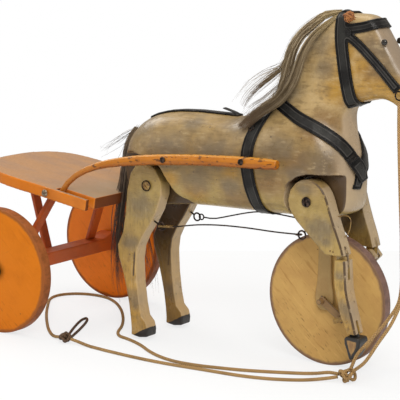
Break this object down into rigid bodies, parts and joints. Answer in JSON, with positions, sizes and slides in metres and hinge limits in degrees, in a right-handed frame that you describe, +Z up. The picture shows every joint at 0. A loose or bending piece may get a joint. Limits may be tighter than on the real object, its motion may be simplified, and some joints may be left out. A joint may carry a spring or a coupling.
{
  "type": "horse and sulky toy",
  "caption": "Wooden pull toy: a striding horse on a cranked front wheel, with swinging jointed legs, drawing a two-wheeled sulky seat by bent shafts, with a pull cord.",
  "frame": {"origin": "on the floor under the middle of the toy, its cord left out", "axes": "+X the way the horse faces and travels, +Y the toy's left side, +Z up"},
  "size_m": [0.7827, 0.3192, 0.5269],
  "materials": {
    "wood_cream": "worn cream and olive paint with smudged grey dapples over wood",
    "wood_orange": "old orange paint, satin, chipped at the edges",
    "wood_red": "red-brown paint, satin",
    "wood_ochre": "worn ochre paint, rubbed at the rim",
    "seat_wood": "bare worn boards with orange paint left at the edges",
    "crank": "brown paint, worn",
    "leather": "black, creased, semi-matte",
    "iron": "dark, oiled and aged",
    "steel": "aged zinc",
    "hair": "long grey-brown hair",
    "tail_hair": "long dark hair",
    "cord": "twisted plant-fibre cord",
    "bead": "glossy black glass",
    "raffia": "dyed raffia"
  },
  "bodies": {
    "frame": {"torso": "wood_cream", "neck_head": "wood_cream", "eye_R": "bead", "eye_L": "bead", "bit_ring_R": "iron", "bit_ring_L": "iron", "poll_tuft": "raffia", "mane": "hair", "tail": "tail_hair", "back_strap": "leather", "girth_strap": "leather", "collar_R": "leather", "collar_L": "leather", "bridle": "leather", "fork_R": "wood_cream", "fork_L": "wood_cream", "shoulder_bolt_R": "iron", "shoulder_bolt_L": "iron", "hip_bolt_R": "steel", "hip_bolt_L": "steel", "axle_beam": "wood_red", "seat": "seat_wood", "strut_R": "wood_red", "strut_L": "wood_red", "strut_back": "wood_red", "shaft_R": "wood_orange", "shaft_L": "wood_orange", "shaft_screw_rear_R": "iron", "shaft_screw_rear_L": "iron", "shaft_screw_front_R": "iron", "shaft_screw_front_L": "iron", "seat_bolt_R": "steel", "seat_bolt_L": "steel", "hub_screw_R": "iron", "hub_screw_L": "iron", "rein_R": "cord", "rein_L": "cord", "rein_knot": "cord", "hand_loop": "cord", "strand_long": "cord", "strand_short": "cord"},
    "front_wheelset": {"front_wheel": "wood_ochre", "crank_axle": "crank"},
    "rear_wheel_R": {"rear_wheel_R": "wood_orange"},
    "rear_wheel_L": {"rear_wheel_L": "wood_orange"},
    "upper_leg_R": {"upper_leg_R": "wood_cream", "front_eye_R": "iron"},
    "upper_leg_L": {"upper_leg_L": "wood_cream", "front_eye_L": "iron"},
    "lower_leg_R": {"lower_leg_R": "wood_cream"},
    "lower_leg_L": {"lower_leg_L": "wood_cream"},
    "hoof_R": {"hoof_R": "wood_cream"},
    "hoof_L": {"hoof_L": "wood_cream"},
    "rear_leg_R": {"rear_leg_R": "wood_cream", "rear_eye_R": "iron"},
    "rear_leg_L": {"rear_leg_L": "wood_cream", "rear_eye_L": "iron"},
    "rod_R": {"rod_R": "iron"},
    "rod_L": {"rod_L": "iron"}
  },
  "joints": [
    {"name": "front_wheel_turn", "type": "hinge", "parent": "frame", "child": "front_wheelset", "pos_m": [0.23342, 0, 0.0984], "axis": [0, 1, 0], "continuous": true},
    {"name": "rear_wheel_R_turn", "type": "hinge", "parent": "frame", "child": "rear_wheel_R", "pos_m": [-0.28618, -0.14385, 0.1], "axis": [0, 1, 0], "continuous": true},
    {"name": "rear_wheel_L_turn", "type": "hinge", "parent": "frame", "child": "rear_wheel_L", "pos_m": [-0.28618, 0.14385, 0.1], "axis": [0, 1, 0], "continuous": true},
    {"name": "shoulder_R_swing", "type": "hinge", "parent": "frame", "child": "upper_leg_R", "pos_m": [0.22882, -0.0455, 0.25], "axis": [0, -1, 0], "range_deg": [-24.5, 24.8]},
    {"name": "shoulder_L_swing", "type": "hinge", "parent": "frame", "child": "upper_leg_L", "pos_m": [0.22882, 0.0455, 0.25], "axis": [0, -1, 0], "range_deg": [-21.9, 27.4]},
    {"name": "knee_R_bend", "type": "hinge", "parent": "upper_leg_R", "child": "lower_leg_R", "pos_m": [0.28482, -0.0455, 0.164], "axis": [0, -1, 0], "range_deg": [-61.7, 28.7]},
    {"name": "knee_L_bend", "type": "hinge", "parent": "upper_leg_L", "child": "lower_leg_L", "pos_m": [0.28086, 0.0455, 0.16155], "axis": [0, -1, 0], "range_deg": [-15.2, 75.2]},
    {"name": "fetlock_R_bend", "type": "hinge", "parent": "lower_leg_R", "child": "hoof_R", "pos_m": [0.30332, -0.0455, 0.0715], "axis": [0, -1, 0], "range_deg": [-9, 9]},
    {"name": "fetlock_L_bend", "type": "hinge", "parent": "lower_leg_L", "child": "hoof_L", "pos_m": [0.22306, 0.0455, 0.087], "axis": [0, -1, 0], "range_deg": [-9, 9]},
    {"name": "hip_R_swing", "type": "hinge", "parent": "frame", "child": "rear_leg_R", "pos_m": [-0.05718, -0.0455, 0.246], "axis": [0, -1, 0], "range_deg": [-19.5, 19.5]},
    {"name": "hip_L_swing", "type": "hinge", "parent": "frame", "child": "rear_leg_L", "pos_m": [-0.05718, 0.0455, 0.246], "axis": [0, -1, 0], "range_deg": [-18.5, 22]},
    {"name": "rod_R_turn", "type": "hinge", "parent": "upper_leg_R", "child": "rod_R", "pos_m": [0.20912, -0.0475, 0.199], "axis": [0, -1, 0], "range_deg": [-29, 29]},
    {"name": "rod_L_turn", "type": "hinge", "parent": "upper_leg_L", "child": "rod_L", "pos_m": [0.20682, 0.0475, 0.19966], "axis": [0, -1, 0], "range_deg": [-32.5, 26.5]}
  ],
  "couplings": [
    {"joint": "hip_R_swing", "follows": "shoulder_R_swing", "ratio": 0.77},
    {"joint": "hip_L_swing", "follows": "shoulder_L_swing", "ratio": 0.784},
    {"joint": "rod_R_turn", "follows": "shoulder_R_swing", "ratio": -1.148},
    {"joint": "rod_L_turn", "follows": "shoulder_L_swing", "ratio": -1.157}
  ]
}
